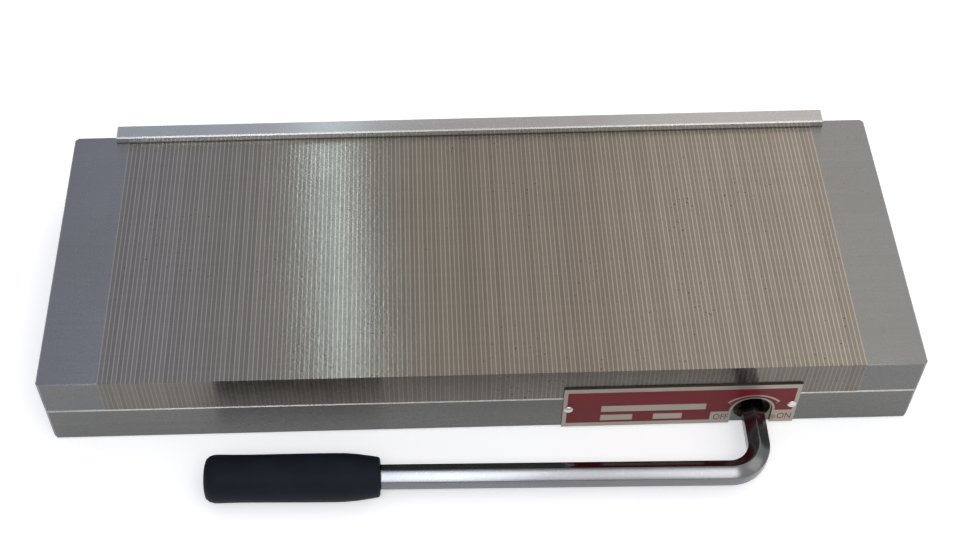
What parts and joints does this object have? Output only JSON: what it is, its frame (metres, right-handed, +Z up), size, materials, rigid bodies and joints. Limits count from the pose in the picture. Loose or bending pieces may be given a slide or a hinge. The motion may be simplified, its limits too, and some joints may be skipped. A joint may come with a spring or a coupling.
{
  "type": "magnetic chuck",
  "caption": "Flat permanent magnetic chuck: a laminated steel and brass work face with a rear stop rail, a nameplate, and an angled hexagon key with a grip that switches the magnets.",
  "frame": {"origin": "centre of the base's underside", "axes": "+X along the chuck's length towards the cam end, +Y from the key side to the back stop, +Z up, out of the work face"},
  "size_m": [0.4, 0.1963, 0.049],
  "materials": {
    "base_steel": "surface-ground steel",
    "block_steel": "surface-ground steel",
    "lamination_steel": "surface-ground steel",
    "separator_brass": "ground brass",
    "rail_steel": "bright ground steel",
    "screw_steel": "black oxide",
    "nameplate_red": "red enamel on satin aluminium",
    "rivet_aluminium": "satin",
    "bronze": "machined bronze",
    "shaft_steel": "turned steel",
    "key_plating": "nickel plate",
    "grip_rubber": "matt moulded rubber",
    "frame_aluminium": "milled",
    "magnet": "sintered ferrite"
  },
  "bodies": {
    "chuck_body": {"base_housing": "base_steel", "end_block_left": "block_steel", "end_block_right": "block_steel", "steel_laminations": "lamination_steel", "brass_separators": "separator_brass", "back_stop_rail": "rail_steel", "plate_screws": "screw_steel", "rail_screws": "screw_steel", "nameplate": "nameplate_red", "nameplate_rivets": "rivet_aluminium", "slide_strip_front": "bronze", "slide_strip_rear": "bronze", "cam_bush": "bronze", "dog_screw": "screw_steel"},
    "cam": {"cam_shaft": "shaft_steel"},
    "magnet_pack": {"pack_frame": "frame_aluminium", "pack_keeper": "base_steel", "magnet_tiles": "magnet", "follower_fork": "bronze"},
    "key": {"hex_key": "key_plating", "key_grip": "grip_rubber"}
  },
  "joints": [
    {"name": "cam_turn", "type": "hinge", "parent": "chuck_body", "child": "cam", "pos_m": [0.1255, -0.0715, 0.0115], "axis": [0, 1, 0], "range_deg": [0, 180]},
    {"name": "pack_shift", "type": "slide", "parent": "chuck_body", "child": "magnet_pack", "axis": [1, 0, 0], "range_m": [0, 0.00105]},
    {"name": "key_pull", "type": "slide", "parent": "cam", "child": "key", "axis": [0, -1, 0], "range_m": [0, 0.02]}
  ],
  "couplings": [
    {"joint": "pack_shift", "follows": "cam_turn", "m_per_rad": 0.00033423}
  ]
}
